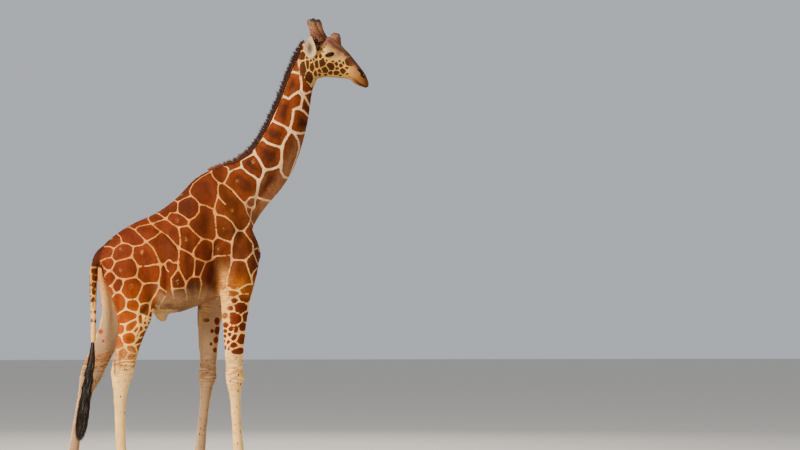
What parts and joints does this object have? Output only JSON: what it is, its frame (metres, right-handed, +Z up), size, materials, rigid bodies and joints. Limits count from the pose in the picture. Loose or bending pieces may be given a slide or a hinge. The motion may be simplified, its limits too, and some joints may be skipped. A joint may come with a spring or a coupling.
{
  "type": "reticulated giraffe model",
  "caption": "Life-size still model of a standing giraffe with long neck, horns, short mane, tufted tail and cloven hooves.",
  "frame": {"origin": "on the floor under the middle of the animal's bounding box", "axes": "+X the way the animal faces, +Y to its left, +Z up"},
  "size_m": [2.9946, 0.731, 4.6908],
  "materials": {
    "coat": "short flat fur: red-brown patches parted by cream lines, cream legs",
    "horn": "skin-covered horn, furred at the root and worn bare on top",
    "hoof": "dull dark horn with growth rings",
    "eye": "wet dark gloss",
    "mane_hair": "short upright bristle",
    "tail_hair": "long coarse black hair"
  },
  "bodies": {
    "root": {"trunk": "coat", "neck": "coat", "head": "coat", "tail": "coat", "leg_fore_right": "coat", "leg_fore_left": "coat", "leg_hind_right": "coat", "leg_hind_left": "coat", "ear_right": "coat", "ear_left": "coat", "horn_right": "horn", "horn_left": "horn", "horn_middle": "horn", "eye_right": "eye", "eye_left": "eye", "hoof_fore_right_a": "hoof", "hoof_fore_right_b": "hoof", "hoof_fore_left_a": "hoof", "hoof_fore_left_b": "hoof", "hoof_hind_right_a": "hoof", "hoof_hind_right_b": "hoof", "hoof_hind_left_a": "hoof", "hoof_hind_left_b": "hoof", "mane": "mane_hair", "tail_tuft": "tail_hair"}
  },
  "joints": []
}
